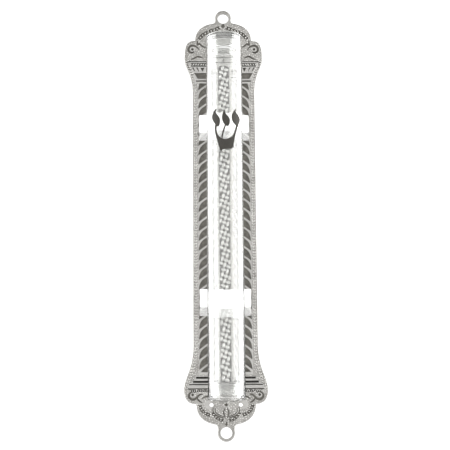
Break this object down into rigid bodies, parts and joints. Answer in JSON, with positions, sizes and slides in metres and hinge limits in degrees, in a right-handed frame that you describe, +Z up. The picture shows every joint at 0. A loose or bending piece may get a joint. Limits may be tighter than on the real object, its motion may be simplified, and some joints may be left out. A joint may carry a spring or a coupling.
{
  "type": "mezuzah case",
  "caption": "Clear tube case for a rolled parchment, closed by a pull-out stopper, taped by two feet to an ornate cast metal wall plate with a hanging ring at each end.",
  "frame": {"origin": "middle of the wall plate's back face, which lies on the doorpost", "axes": "+Z up along the case, the front with the tube faces -Y, +Y into the wall, +X to the viewer's right"},
  "size_m": [0.0368, 0.0209, 0.2],
  "materials": {
    "cast_silver": "silver-nickel plated casting, satin high points over blackened recesses",
    "clear_plastic": "clear polished plastic",
    "soft_clear_plastic": "slightly milky soft plastic",
    "foam_tape": "white double-sided foam tape",
    "charcoal_foil": "dark grey satin foil"
  },
  "bodies": {
    "case": {"back_plate": "cast_silver", "upper_tape_pad": "foam_tape", "lower_tape_pad": "foam_tape", "upper_foot": "clear_plastic", "lower_foot": "clear_plastic", "tube": "clear_plastic", "top_cap": "clear_plastic", "shin_emblem": "charcoal_foil"},
    "stopper": {"bottom_stopper": "soft_clear_plastic"}
  },
  "joints": [
    {"name": "stopper_slide", "type": "slide", "parent": "case", "child": "stopper", "axis": [0, 0, -1], "range_m": [0, 0.04]}
  ]
}
